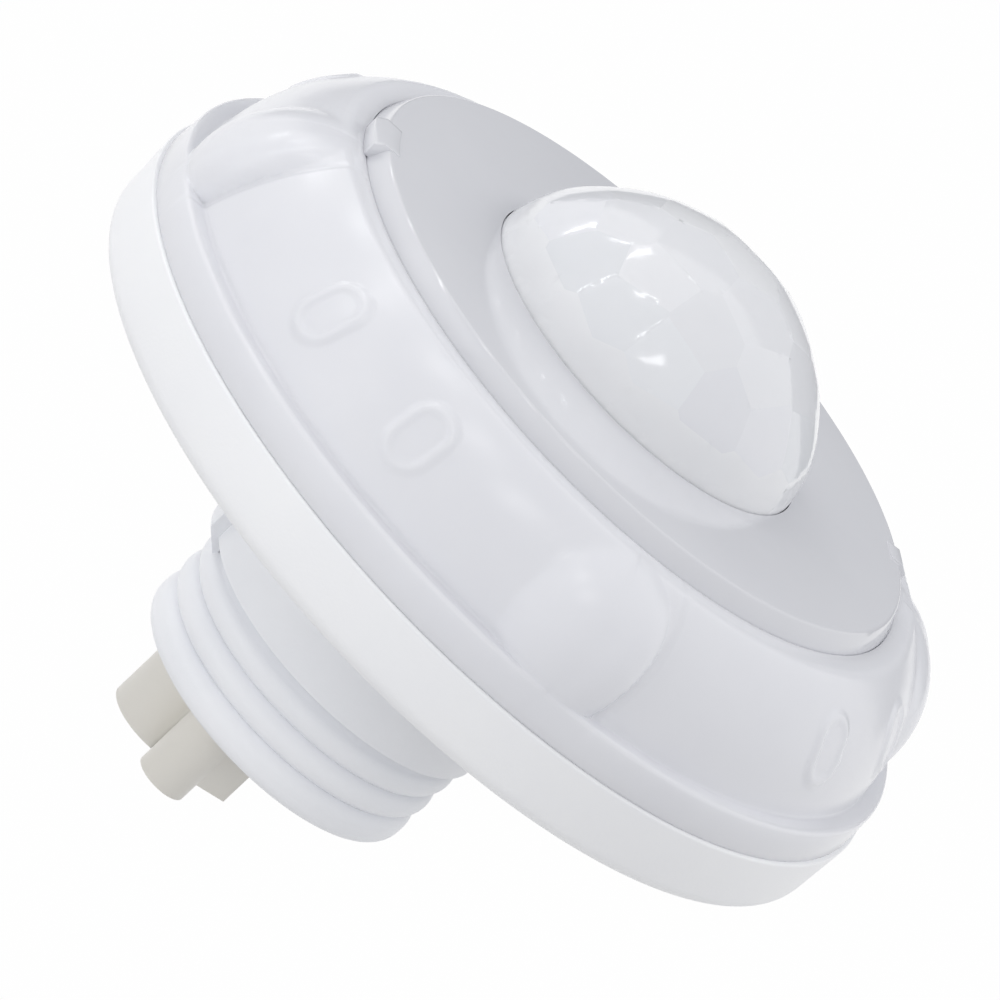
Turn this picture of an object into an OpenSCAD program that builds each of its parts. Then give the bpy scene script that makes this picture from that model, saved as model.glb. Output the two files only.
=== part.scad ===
// Ceiling motion sensor with a ribbed neck: a white base ring, a translucent cover with
// four finger grips, a glossy front disc and a domed lens, wired through a three-way plug.
// Origin: centre of the base's back seating face. +Z runs towards the lens, and -Y faces
// the side that shows the plug's three housings. Millimetres.

/* [Base] */
// Outer radius of the base band at its top edge
band_r = 45; // [42:0.5:52]
// Height of the base band above the seating face
band_h = 7.4; // [6.6:0.1:10]
// Thickness of the base's side wall
base_wall = 2.2; // [1.6:0.1:3]
// Thickness of the base's back
back_t = 2.4; // [1.6:0.1:3.4]

/* [Cover] */
// Step from the band's edge in to the cover's skirt
skirt_inset = 0.4; // [0.3:0.1:1.2]
// Height of the cover's skirt above the band
skirt_h = 3.8; // [3:0.1:5]
// Width of the ledge between the skirt and the sloping wall
ledge_w = 1.9; // [1:0.1:2]
// Height of the sloping wall
wall_h = 12.1; // [11:0.1:15]
// How far the sloping wall runs inwards
wall_in = 6.8; // [6:0.1:8.5]
// How far the sloping wall bows outwards
wall_bow = 1.5; // [0.8:0.1:2]
// Thickness of the cover
cover_wall = 2; // [1.4:0.1:2.4]
// Rounding of the shoulder at the head of the wall
shoulder_round = 2; // [0.6:0.1:2.4]
// Height of a finger grip above the sloping wall
grip_h = 3.5; // [3:0.1:5]
// Length of a grip's straight part along the wall
grip_run = 5.5; // [4:0.1:8]
// Angle of the first grip, and the others follow by quarter turns
grip_angle = 19.6; // [10:0.2:30]
// Length of an oblong button on the sloping wall
button_l = 7.4; // [6.4:0.1:8.6]
// Width of an oblong button
button_w = 5.2; // [4.6:0.1:6]
// Height of an oblong button above the wall
button_h = 0.5; // [0.3:0.1:1.2]

/* [Front disc] */
// Width of the step between the cover's shoulder and the front disc
step_w = 2.4; // [1.8:0.1:3.4]
// Height of the front disc's face above the step
disc_rise = 1.94; // [1.2:0.02:3]
// How far the disc's rim leans inwards
disc_lean = 1; // [0.2:0.1:1.5]
// Thickness of the front disc
disc_t = 2; // [1.4:0.1:2.6]

/* [Lens] */
// Radius of the lens at its foot
lens_r = 18.5; // [16:0.1:21]
// Height of the lens's crown above the front disc
lens_rise = 13.66; // [12:0.02:16]
// Radius of the lens's side arc
lens_side_r = 11.5; // [8:0.1:12.4]
// Thickness of the lens
lens_wall = 1; // [0.6:0.1:1.4]

/* [Neck] */
// Radius of the plain collar
collar_r = 16.3; // [15.8:0.1:20]
// Length of the plain collar below the seating face
collar_l = 15; // [12:0.1:25]
// Thickness of the neck's wall under the collar
neck_wall = 3.1; // [2.7:0.1:3.6]
// Distance from one rib to the next
rib_pitch = 3; // [2.6:0.1:3.6]
// Number of ribs
rib_count = 3; // [2:1:6]

/* [Plug] */
// How far the plug stands out of the neck
plug_out = 8.7; // [5:0.1:12]
// Radius of the round housing
round_r = 4.9; // [4:0.1:5.2]
// Width of the long housing with a round front
tongue_w = 5.35; // [5:0.05:5.8]
// Width of the square housing
square_w = 2.85; // [2.6:0.05:3.2]
// How much shorter the square housing is than the other two
square_short = 1.5; // [0:0.1:3]
// Thickness of the housings' walls
plug_wall = 0.8; // [0.6:0.05:1]

/* [Sensor] */
// Radius of the sensor can
can_r = 4.15; // [3.8:0.05:4.6]
// Height of the sensor can
can_h = 4.2; // [3.6:0.1:5]
// Height of the spacer under the can
spacer_t = 2.5; // [1.5:0.1:3.5]
// Length of the standoffs between the two boards
standoff_h = 4; // [3.6:0.1:5]

/* [Hidden] */
$fn = 96;
eps = 0.01;
overshoot = 1;
fit_gap = 0.05;
quarter_turns = [0, 90, 180, 270];

// Cover in section
skirt_r = band_r - skirt_inset;
skirt_lean = 0.2;
skirt_top_r = skirt_r - skirt_lean;
skirt_round = 0.5;
ledge_z = band_h + skirt_h;
foot_r = skirt_top_r - ledge_w;
head_r = foot_r - wall_in;
step_z = ledge_z + wall_h;
wall_run = norm([wall_in, wall_h]);
wall_tilt = atan2(wall_h, wall_in);
wall_mid_r = (foot_r + head_r) / 2;
wall_mid_z = (ledge_z + step_z) / 2;
bow_r = (pow(wall_run / 2, 2) + pow(wall_bow, 2)) / (2 * wall_bow);
bow_at = [
    wall_mid_r - sin(wall_tilt) * (bow_r - wall_bow),
    wall_mid_z - cos(wall_tilt) * (bow_r - wall_bow)
];
grip_r = (pow(wall_run / 2, 2) + pow(grip_h, 2)) / (2 * grip_h);
grip_edge = 2.4;
grip_drop = 0.7;
button_draft = 0.9;
button_seat = wall_bow - pow(button_l / 2, 2) / (2 * bow_r);
button_dish = 0.4;
button_angles = [-3, -25, -103, -124, -193, -215, -283, -305];

// Front disc
roof_z = step_z - cover_wall;
face_z = step_z + disc_rise;
disc_foot_r = head_r - step_w;
disc_face_r = disc_foot_r - disc_lean;
disc_hole_r = disc_foot_r + fit_gap;
disc_plug_r = disc_foot_r - 1.9;
disc_lip_r = disc_hole_r + 0.7;
disc_lip_t = 1.3;
disc_back_z = face_z - disc_t;

// Snap tabs: angle, width and how far each reaches over the step
snap_tabs = [[-165, 6, 1.3], [25.7, 3, 0.2]];
tab_drop = 0.35;
tab_bevel = 0.4;

// Lens
lens_sink = 1.24;
lens_top_z = face_z + lens_rise;
lens_half_h = lens_rise + lens_sink;
lens_mid_z = face_z - lens_sink;
lens_side_x = lens_r - lens_side_r;
lens_crown_r = (pow(lens_side_x, 2) + pow(lens_half_h, 2) - pow(lens_side_r, 2))
    / (2 * (lens_half_h - lens_side_r));
lens_flange_r = lens_r + 2.5;
lens_flange_t = 1.3;
lens_foot_z = disc_back_z - lens_flange_t;
retainer_t = 1.6;
retainer_r = lens_flange_r + 2;
retainer_hole_r = lens_r - 1.3;

// Base
back_r = band_r - 0.4;
back_round = 1.8;
spigot_out_r = skirt_r - cover_wall - 1;
spigot_in_r = spigot_out_r - 1.3;
spigot_top = ledge_z - cover_wall - 0.2;
seal_r = (skirt_r - cover_wall - spigot_out_r) / 2;
web_t = 1.4;
web_h = 3;
web_angles = [for (k = [0:7]) 22.5 + 45 * k];

// Neck
neck_bore_r = collar_r - neck_wall;
rib_r = collar_r - 0.4;
rib_round = rib_pitch / 2 + 0.1;
rib_first = collar_l + rib_pitch * 0.8;
lip_l = 2.2;
neck_l = rib_first + (rib_count - 1) * rib_pitch + lip_l;
register_r = collar_r + 1.5;
flange_r = register_r + 4.4;
flange_t = 2;
neck_screw_at = (register_r + flange_r) / 2;
neck_screw_r = 1;
neck_screw_head_r = 1.8;
neck_screw_head_h = 1.3;
pilot_floor = 0.8;

// Power board, screwed to four posts
power_z = back_t + flange_t + neck_screw_head_h + 1.1;
power_t = 1.4;
power_top = power_z + power_t;
power_r = spigot_in_r - 2;
post_at = power_r - 4.5;
post_r = 3;
post_angles = [45, 135, 225, 315];
screw_r = 1.2;
screw_bite = 3.6;
screw_head_r = 2.5;
screw_head_h = 1.7;
clear_hole_r = screw_r + 0.25;
relay_size = [16, 6, 8.5];
can_sizes = [3.4, 8];
part_top = power_top + relay_size[2];
slope_r = foot_r - cover_wall / sin(wall_tilt) - (part_top - ledge_z) / tan(wall_tilt);
part_reach = sqrt(pow(slope_r - 0.6, 2) - pow(relay_size[0] / 2, 2));
part_at = part_reach - relay_size[1] / 2;

// Sensor board, on four standoffs
sensor_z = power_top + standoff_h;
sensor_t = 1.6;
sensor_top = sensor_z + sensor_t;
sensor_r = part_at - can_sizes[0] - 0.8;
standoff_at = sensor_r - 4;
standoff_r = 2.6;
lamp_at = standoff_at - 13;
chip_at = [10 - sensor_r, 0];
resistor_at = standoff_at - 7.5;
capacitor_at = standoff_at - 6.5;
chip_size = 7;
chip_h = 1.2;
lead_count = 8;
lead_pitch = 0.8;
lead_size = [1, 0.35, 0.6];

// Sensor can
can_base_r = can_r + 0.45;
can_base_h = 0.6;
can_wall = 0.4;
can_z = sensor_top + spacer_t;
can_top = can_z + can_h;
window_size = [4.2, 3.2, 0.5];
window_lap = 0.6;
pin_r = 0.23;
pin_circle = 2.54;
pin_tail = 1;
pin_angles = [45, 135, 270];

// Plug
plug_end = neck_l + plug_out;
square_end = plug_end - square_short;
plug_recess = 7.1;
plug_plate_z = plug_recess - neck_l;
plug_plate_t = 2;
plug_floor = plug_plate_z - plug_plate_t - 2;
round_at = [round_r + 1.5 - neck_bore_r, -0.5];
tongue_reach = neck_bore_r - 2.2;
tongue_x = round_at[0] + 4;
tongue_back = 4;
square_x = tongue_x + (tongue_w + square_w) / 2;
square_front = tongue_reach - 3.9;
square_bevel = 2.1;
square_back = 4;
contact_r = 1.1;
contact_hole_r = 0.6;
contact_short = 4.3;
blade_size = [0.6, 3];
wire_r = 0.8;
wire_points = [round_at, [tongue_x, -tongue_reach / 2], [square_x, 0.6]];
solder_h = 0.5;

function unit(v) = v / norm(v);

// Outline to take off a convex corner p whose neighbours are a and b, leaving an arc of radius r
module corner_cut(p, a, b, r) {
    da = unit(a - p);
    db = unit(b - p);
    half = acos(da * db) / 2;
    reach = r / tan(half);
    middle = p + unit(da + db) * r / sin(half);
    difference() {
        polygon([p - unit(da + db) * eps, p + da * reach, middle, p + db * reach]);
        translate(middle) circle(r);
    }
}

// Places children on the sloping wall: x down the slope, y along the rim, z outwards
module on_wall(angle) {
    rotate([0, 0, angle])
        translate([wall_mid_r, 0, wall_mid_z])
            rotate([0, wall_tilt, 0])
                children();
}

module ring_of(angles, radius, z = 0) {
    for (a = angles) rotate([0, 0, a]) translate([radius, 0, z]) children();
}

module tube(outer, inner, height) {
    difference() {
        cylinder(r = outer, h = height);
        translate([0, 0, -overshoot]) cylinder(r = inner, h = height + 2 * overshoot);
    }
}

module pan_screw(shank_r, shank_l, head_r, head_h) {
    slot_w = 0.5;
    slot_l = head_r * 1.2;
    union() {
        translate([0, 0, -shank_l]) cylinder(r = shank_r, h = shank_l + eps);
        difference() {
            cylinder(r = head_r, h = head_h);
            for (turn = [0, 90])
                rotate([0, 0, turn])
                    translate([-slot_l / 2, -slot_w / 2, head_h / 2])
                        cube([slot_l, slot_w, head_h]);
        }
    }
}

// Base: a shallow tray whose rim is the white band
module base_profile() {
    difference() {
        polygon([
            [register_r, 0], [back_r, 0], [band_r, band_h], [band_r - base_wall, band_h],
            [band_r - base_wall, back_t], [register_r, back_t]
        ]);
        corner_cut([back_r, 0], [register_r, 0], [band_r, band_h], back_round);
    }
}

module base_webs() {
    for (a = web_angles)
        rotate([0, 0, a])
            translate([spigot_out_r - eps, -web_t / 2, back_t - eps])
                cube([band_r - base_wall - spigot_out_r + 2 * eps, web_t, web_h]);
}

module base_housing() {
    color([0.95, 0.95, 0.95])
    difference() {
        union() {
            rotate_extrude() base_profile();
            translate([0, 0, back_t - eps])
                tube(spigot_out_r, spigot_in_r, spigot_top - back_t + eps);
            base_webs();
            ring_of(post_angles, post_at, back_t - eps)
                cylinder(r = post_r, h = power_z - back_t + eps);
        }
        ring_of(post_angles, post_at, power_z - screw_bite) cylinder(r = screw_r, h = power_z);
        ring_of(quarter_turns, neck_screw_at, pilot_floor) cylinder(r = neck_screw_r, h = back_t);
    }
}

// Neck: plain collar, rounded ribs and a rounded lip, with a flange inside the base
module rib_outline() {
    core_r = rib_r - rib_round;
    lip_top = -rib_first - (rib_count - 1) * rib_pitch;
    translate([neck_bore_r, lip_top])
        square([core_r + rib_round / 3 - neck_bore_r, -lip_top - collar_l + eps]);
    for (k = [0 : rib_count - 1])
        translate([core_r, -rib_first - k * rib_pitch]) circle(rib_round);
    difference() {
        translate([neck_bore_r, -neck_l]) square([rib_r - neck_bore_r, lip_l]);
        corner_cut([rib_r, -neck_l], [neck_bore_r, -neck_l], [rib_r, lip_top], rib_round);
    }
}

module neck_profile() {
    translate([neck_bore_r, -collar_l]) square([neck_wall, collar_l + eps]);
    translate([neck_bore_r, 0]) square([register_r - neck_bore_r, back_t + eps]);
    translate([neck_bore_r, back_t]) square([flange_r - neck_bore_r, flange_t]);
    difference() {
        rib_outline();
        translate([0, -neck_l - overshoot]) square([neck_bore_r, neck_l + 2 * overshoot]);
    }
}

module neck() {
    color([0.88, 0.89, 0.91])
    difference() {
        rotate_extrude() neck_profile();
        ring_of(quarter_turns, neck_screw_at, back_t - overshoot)
            cylinder(r = neck_screw_r, h = flange_t + 2 * overshoot);
    }
}

module neck_screws() {
    color([0.72, 0.72, 0.7])
    ring_of(quarter_turns, neck_screw_at, back_t + flange_t)
        pan_screw(neck_screw_r, flange_t + back_t - pilot_floor, neck_screw_head_r,
                  neck_screw_head_h);
}

// Bowed outside of the sloping wall, between two heights
module bowed_wall(radius, low_z, high_z) {
    intersection() {
        translate(bow_at) circle(radius);
        translate([0, low_z]) square([band_r, high_z - low_z]);
    }
}

// Cover: skirt, ledge, bowed wall and step, closed by the front disc
module cover_outline() {
    skirt_top = [skirt_top_r, ledge_z];
    head = [head_r, step_z];
    below_head = head + [head[1] - bow_at[1], bow_at[0] - head[0]];
    difference() {
        union() {
            polygon([
                [0, band_h], [skirt_r, band_h], skirt_top, [foot_r, ledge_z], head, [0, step_z]
            ]);
            bowed_wall(bow_r, ledge_z, step_z);
        }
        corner_cut(skirt_top, [skirt_r, band_h], [foot_r, ledge_z], skirt_round);
        corner_cut(head, below_head, [0, step_z], shoulder_round);
    }
}

module cover_cavity() {
    slope = cover_wall / sin(wall_tilt) - cover_wall / tan(wall_tilt);
    knee_z = ledge_z - cover_wall;
    polygon([
        [0, -overshoot], [skirt_r - cover_wall, -overshoot], [skirt_r - cover_wall, knee_z],
        [foot_r - slope, knee_z], [head_r - slope, roof_z], [0, roof_z]
    ]);
    bowed_wall(bow_r - cover_wall, knee_z, roof_z);
}

// One finger grip: a domed end on one side and a steep rounded end on the other
module grip_solid(radius, run, edge) {
    translate([0, 0, grip_h - grip_r])
        rotate([-90, 0, 0])
            rotate_extrude()
                difference() {
                    union() {
                        intersection() {
                            circle(radius);
                            translate([0, -radius]) square([radius, radius + eps]);
                        }
                        square([radius, run]);
                    }
                    corner_cut([radius, run], [0, run], [radius, 0], edge);
                }
}

module oblong(length, width, height, draft) {
    inset = draft * height;
    spread = (length - width) / 2;
    for (side = [-1, 1])
        translate([side * spread, 0, 0])
            cylinder(r1 = width / 2, r2 = width / 2 - inset, h = height);
    rotate([90, 0, 90])
        translate([0, 0, -spread])
            linear_extrude(2 * spread)
                polygon([
                    [-width / 2, 0], [width / 2, 0],
                    [width / 2 - inset, height], [inset - width / 2, height]
                ]);
}

module wall_button() {
    sink = 0.5;
    rise = button_h + sink;
    border = 2 * button_draft + 1.8;
    difference() {
        translate([0, 0, button_seat - sink])
            oblong(button_l, button_w, rise, button_draft / rise);
        translate([0, 0, button_seat + button_h - button_dish])
            oblong(button_l - border, button_w - border, rise, 0);
    }
}

module cover() {
    color([0.87, 0.88, 0.9])
    difference() {
        union() {
            rotate_extrude() cover_outline();
            for (turn = quarter_turns)
                on_wall(grip_angle + turn)
                    translate([grip_drop, 0, 0]) grip_solid(grip_r, grip_run, grip_edge);
            for (a = button_angles) on_wall(a) wall_button();
        }
        rotate_extrude() cover_cavity();
        for (turn = quarter_turns)
            on_wall(grip_angle + turn)
                translate([grip_drop, 0, 0])
                    grip_solid(grip_r - cover_wall, grip_run - cover_wall, grip_edge / 2);
        translate([0, 0, roof_z - overshoot])
            cylinder(r = disc_hole_r, h = cover_wall + 2 * overshoot);
    }
}

module cover_seal() {
    color([0.25, 0.25, 0.27])
    rotate_extrude()
        translate([spigot_out_r + seal_r, band_h + seal_r]) circle(seal_r);
}

// Front disc: glossy plate with a plug into the cover, a lip behind it and two snap tabs
module disc_profile() {
    polygon([
        [lens_r + fit_gap, face_z], [disc_face_r, face_z], [disc_foot_r, step_z],
        [disc_foot_r, roof_z], [disc_lip_r, roof_z], [disc_lip_r, roof_z - disc_lip_t],
        [disc_plug_r, roof_z - disc_lip_t], [disc_plug_r, disc_back_z],
        [lens_r + fit_gap, disc_back_z]
    ]);
}

module snap_tab(width, reach) {
    root_r = disc_face_r - 0.6;
    edge_r = disc_foot_r + reach;
    top_z = face_z - tab_drop;
    half_angle = asin(width / 2 / disc_foot_r);
    rotate([0, 0, -half_angle])
        rotate_extrude(angle = 2 * half_angle)
            polygon([
                [root_r, step_z], [edge_r, step_z], [edge_r, top_z - 2 * tab_bevel],
                [edge_r - tab_bevel, top_z - tab_bevel], [root_r, top_z]
            ]);
}

module front_disc() {
    color([0.8, 0.81, 0.83])
    union() {
        rotate_extrude() disc_profile();
        for (tab = snap_tabs) rotate([0, 0, tab[0]]) snap_tab(tab[1], tab[2]);
    }
}

// Lens section: a side arc that runs into a crown arc, over a short straight foot
module lens_section(inset) {
    crown = [0, lens_top_z - lens_crown_r];
    side = [lens_side_x, lens_mid_z];
    away = unit(side - crown);
    meet = side + away * (lens_side_r + 2 * overshoot);
    base_z = lens_foot_z - inset;
    intersection() {
        union() {
            intersection() {
                translate(crown) circle(lens_crown_r - inset);
                polygon([
                    crown, meet, [meet[0], lens_top_z + overshoot], [0, lens_top_z + overshoot]
                ]);
            }
            translate(side) circle(lens_side_r - inset);
            translate([0, lens_mid_z - lens_side_r]) square([lens_side_x, lens_side_r]);
            polygon([[0, lens_mid_z], side, side + away, crown]);
            translate([0, base_z]) square([lens_r - inset, lens_mid_z - base_z]);
        }
        translate([0, base_z]) square([lens_r, lens_top_z]);
    }
}

module lens() {
    color([0.97, 0.97, 0.98])
    rotate_extrude()
        difference() {
            union() {
                lens_section(0);
                translate([0, lens_foot_z]) square([lens_flange_r, lens_flange_t]);
            }
            lens_section(lens_wall);
        }
}

// Retainer: a ring under the lens's flange, with a rim glued to the disc's back
module lens_retainer() {
    rim_in_r = lens_flange_r + fit_gap;
    color([0.9, 0.9, 0.9])
    translate([0, 0, lens_foot_z - retainer_t])
        union() {
            tube(retainer_r, retainer_hole_r, retainer_t);
            tube(retainer_r, rim_in_r, retainer_t + lens_flange_t);
        }
}

// Boards and what they carry
module sensor_board() {
    color([0.1, 0.35, 0.2])
    difference() {
        translate([0, 0, sensor_z]) cylinder(r = sensor_r, h = sensor_t);
        ring_of(pin_angles, pin_circle, sensor_z - overshoot)
            cylinder(r = pin_r, h = sensor_t + 2 * overshoot);
        ring_of(quarter_turns, standoff_at, sensor_z - overshoot)
            cylinder(r = clear_hole_r, h = sensor_t + 2 * overshoot);
    }
}

module sensor_spacer() {
    color([0.92, 0.92, 0.88])
    difference() {
        translate([0, 0, sensor_top]) cylinder(r = can_base_r, h = spacer_t);
        ring_of(pin_angles, pin_circle, sensor_top - overshoot)
            cylinder(r = pin_r, h = spacer_t + 2 * overshoot);
    }
}

module sensor_can() {
    color([0.75, 0.74, 0.7])
    difference() {
        translate([0, 0, can_z]) {
            cylinder(r = can_base_r, h = can_base_h);
            cylinder(r = can_r, h = can_h);
        }
        translate([0, 0, can_z + can_base_h])
            cylinder(r = can_r - can_wall, h = can_h - can_base_h - can_wall);
        translate([-window_size[0] / 2, -window_size[1] / 2, can_top - overshoot])
            cube([window_size[0], window_size[1], 2 * overshoot]);
    }
}

module sensor_window() {
    plate = [window_size[0] + 2 * window_lap, window_size[1] + 2 * window_lap, window_size[2]];
    color([0.12, 0.11, 0.12])
    translate([-plate[0] / 2, -plate[1] / 2, can_top - can_wall - plate[2]])
        cube(plate);
}

module sensor_pins() {
    color([0.8, 0.7, 0.45])
    ring_of(pin_angles, pin_circle, sensor_z - pin_tail)
        cylinder(r = pin_r, h = sensor_t + spacer_t + pin_tail);
}

module photocell() {
    body_h = 1.6;
    color([0.75, 0.55, 0.3])
    translate([0, lamp_at, sensor_top]) {
        cylinder(r = 2.5, h = body_h);
        translate([0, 0, body_h - eps]) cylinder(r1 = 2.2, r2 = 1.9, h = 0.5);
    }
}

module indicator_lamp() {
    lamp_r = 1.5;
    lamp_h = 3;
    color([0.9, 0.25, 0.2])
    translate([0, -lamp_at, sensor_top]) {
        cylinder(r = lamp_r + 0.4, h = 0.8);
        cylinder(r = lamp_r, h = lamp_h);
        translate([0, 0, lamp_h]) sphere(lamp_r);
    }
}

module controller_chip() {
    stand = 0.15;
    dot_r = 0.4;
    color([0.12, 0.12, 0.13])
    translate([chip_at[0] - chip_size / 2, chip_at[1] - chip_size / 2, sensor_top + stand])
        difference() {
            cube([chip_size, chip_size, chip_h]);
            translate([1, 1, chip_h - stand]) cylinder(r = dot_r, h = 1);
        }
}

module controller_leads() {
    first = -((lead_count - 1) * lead_pitch + lead_size[1]) / 2;
    color([0.75, 0.75, 0.75])
    translate([chip_at[0], chip_at[1], sensor_top])
        for (turn = quarter_turns, k = [0 : lead_count - 1])
            rotate([0, 0, turn])
                translate([chip_size / 2, first + k * lead_pitch, 0])
                    cube(lead_size);
}

// A row of chips along an arc on the sensor board
module chip_row(count, first, step, radius, size) {
    for (k = [0 : count - 1])
        rotate([0, 0, first + step * k])
            translate([radius, -size[1] / 2, sensor_top])
                cube(size);
}

module chip_resistors() {
    color([0.15, 0.15, 0.16]) chip_row(6, 20, 12, resistor_at, [2, 1.25, 0.55]);
}

module chip_capacitors() {
    color([0.65, 0.52, 0.38]) chip_row(5, -80, 14, capacitor_at, [2, 1.25, 1]);
}

module board_standoffs() {
    color([0.8, 0.68, 0.35])
    ring_of(quarter_turns, standoff_at, power_top)
        cylinder(r = standoff_r, h = standoff_h, $fn = 6);
}

module power_board() {
    color([0.1, 0.35, 0.2])
    difference() {
        translate([0, 0, power_z]) cylinder(r = power_r, h = power_t);
        ring_of(post_angles, post_at, power_z - overshoot)
            cylinder(r = clear_hole_r, h = power_t + 2 * overshoot);
        for (p = wire_points)
            translate([p[0], p[1], power_z - overshoot])
                cylinder(r = wire_r, h = power_t + 2 * overshoot);
    }
}

module board_screws() {
    color([0.72, 0.72, 0.7])
    ring_of(post_angles, post_at, power_top)
        pan_screw(screw_r, power_t + screw_bite, screw_head_r, screw_head_h);
}

module relay() {
    color([0.15, 0.3, 0.6])
    translate([-relay_size[0] / 2, part_at - relay_size[1] / 2, power_top])
        cube(relay_size);
}

module storage_capacitors() {
    score = [4, 0.3, 0.25];
    color([0.2, 0.22, 0.3])
    for (a = [174, 198])
        rotate([0, 0, a])
            translate([part_at, 0, power_top])
                difference() {
                    cylinder(r = can_sizes[0], h = can_sizes[1]);
                    for (turn = [0, 90])
                        rotate([0, 0, turn])
                            translate([-score[0] / 2, -score[1] / 2, can_sizes[1] - score[2]])
                                cube([score[0], score[1], 1]);
                }
}

module choke() {
    bobbin_h = 5;
    color([0.5, 0.3, 0.15])
    rotate([0, 0, -90])
        translate([part_at, 0, power_top]) {
            tube(3.6, 1.2, bobbin_h);
            tube(3.2, 1.2, bobbin_h + 0.8);
        }
}

// Plug: a plate across the neck's bore that carries three open housings
module tongue_outline(inset) {
    half = tongue_w / 2 - inset;
    front = tongue_w / 2 - tongue_reach;
    translate([tongue_x, front]) circle(half);
    translate([tongue_x - half, front]) square([2 * half, tongue_back - inset - front]);
}

module square_outline(inset) {
    half = square_w / 2 - inset;
    polygon([
        [square_x - half, inset - square_front],
        [square_x + half, inset - square_front + square_bevel],
        [square_x + half, square_back - inset],
        [square_x - half, square_back - inset]
    ]);
}

module plug_sockets() {
    translate([round_at[0], round_at[1], -plug_end - overshoot])
        cylinder(r = round_r - plug_wall, h = plug_end + overshoot + plug_floor);
    translate([0, 0, -plug_end - overshoot])
        linear_extrude(plug_end + overshoot + plug_floor) {
            difference() {
                tongue_outline(plug_wall);
                translate(round_at) circle(round_r);
            }
            square_outline(plug_wall);
        }
}

module plug_housing() {
    color([0.93, 0.91, 0.86])
    difference() {
        union() {
            translate([0, 0, plug_plate_z - plug_plate_t])
                cylinder(r = neck_bore_r, h = plug_plate_t);
            translate([round_at[0], round_at[1], -plug_end])
                cylinder(r = round_r, h = plug_end + plug_plate_z - eps);
            translate([0, 0, -plug_end])
                linear_extrude(plug_end + plug_plate_z - eps) tongue_outline(0);
            translate([0, 0, -square_end])
                linear_extrude(square_end + plug_plate_z - eps) square_outline(0);
        }
        plug_sockets();
        for (p = wire_points)
            translate([p[0], p[1], plug_floor - overshoot])
                cylinder(r = wire_r, h = plug_plate_z - plug_floor + 2 * overshoot);
    }
}

module plug_contacts() {
    contact_l = plug_end + plug_floor - contact_short;
    sleeve = 2;
    color([0.83, 0.72, 0.42]) {
        for (p = [wire_points[0], wire_points[1]])
            translate([p[0], p[1], plug_floor - contact_l])
                difference() {
                    cylinder(r = contact_r, h = contact_l);
                    translate([0, 0, -overshoot])
                        cylinder(r = contact_hole_r, h = sleeve + overshoot);
                }
        translate([square_x - blade_size[0] / 2, 0.6 - blade_size[1] / 2,
                   plug_floor - contact_l + square_short])
            cube([blade_size[0], blade_size[1], contact_l - square_short]);
    }
}

module lead_wires() {
    color([0.75, 0.2, 0.15])
    for (p = wire_points)
        translate([p[0], p[1], plug_floor])
            cylinder(r = wire_r, h = power_top + solder_h - plug_floor);
}

base_housing();
neck();
neck_screws();
cover();
cover_seal();
front_disc();
lens();
lens_retainer();
sensor_board();
sensor_spacer();
sensor_can();
sensor_window();
sensor_pins();
photocell();
indicator_lamp();
controller_chip();
controller_leads();
chip_resistors();
chip_capacitors();
board_standoffs();
power_board();
board_screws();
relay();
storage_capacitors();
choke();
plug_housing();
plug_contacts();
lead_wires();
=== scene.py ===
"""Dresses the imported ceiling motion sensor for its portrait: a satin white base ring, an opal
cover with finger grips, a glossy front disc, a faceted lens, a ribbed neck and a plug.
Pieces are shaped in millimetres; the studio is in metres."""
from math import asin, atan2, cos, hypot, pi, radians, sin, sqrt, tau

import bmesh
import bpy
from mathutils import Matrix, Quaternion, Vector


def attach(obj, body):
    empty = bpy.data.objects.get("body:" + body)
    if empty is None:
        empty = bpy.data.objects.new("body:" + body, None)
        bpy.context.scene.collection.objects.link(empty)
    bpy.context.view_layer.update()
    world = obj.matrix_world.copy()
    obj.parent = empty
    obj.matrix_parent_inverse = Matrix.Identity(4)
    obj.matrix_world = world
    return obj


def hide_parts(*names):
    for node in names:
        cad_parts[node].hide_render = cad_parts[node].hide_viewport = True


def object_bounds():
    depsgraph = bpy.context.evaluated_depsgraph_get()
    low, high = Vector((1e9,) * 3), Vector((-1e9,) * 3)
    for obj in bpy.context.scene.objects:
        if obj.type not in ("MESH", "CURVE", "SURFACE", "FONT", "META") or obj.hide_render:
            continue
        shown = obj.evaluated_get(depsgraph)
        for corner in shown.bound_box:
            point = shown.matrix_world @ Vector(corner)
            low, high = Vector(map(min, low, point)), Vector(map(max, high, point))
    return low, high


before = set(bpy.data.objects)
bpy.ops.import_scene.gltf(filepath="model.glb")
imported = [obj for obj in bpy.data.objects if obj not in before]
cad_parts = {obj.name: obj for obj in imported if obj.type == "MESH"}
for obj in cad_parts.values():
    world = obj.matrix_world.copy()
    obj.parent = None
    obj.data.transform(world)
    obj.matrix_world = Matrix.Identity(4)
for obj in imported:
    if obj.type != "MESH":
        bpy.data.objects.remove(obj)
cad_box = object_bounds()
scene = bpy.context.scene

# Camera: a long lens a metre away and a little above the cover's edge. It is turned on its
# side, so that the sensor's axis runs from the lower left to the upper right.
camera_place = Vector((-0.00499, -0.94905, 0.34043))
camera_target = Vector((-0.00003, 0.00018, 0.00550))
camera_turn = radians(46.728)
sensor_width, focal_length = 36, 394.14

camera_data = bpy.data.cameras.new("portrait_camera")
camera_data.sensor_width = sensor_width
camera_data.lens = focal_length
camera = bpy.data.objects.new("portrait_camera", camera_data)
camera.location = camera_place
camera.rotation_mode = "QUATERNION"
camera.rotation_quaternion = (
    (camera_target - camera_place).to_track_quat("-Z", "Y") @ Quaternion((0, 0, 1), camera_turn)
)
scene.collection.objects.link(camera)
scene.camera = camera
scene.view_settings.view_transform = "Standard"


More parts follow.
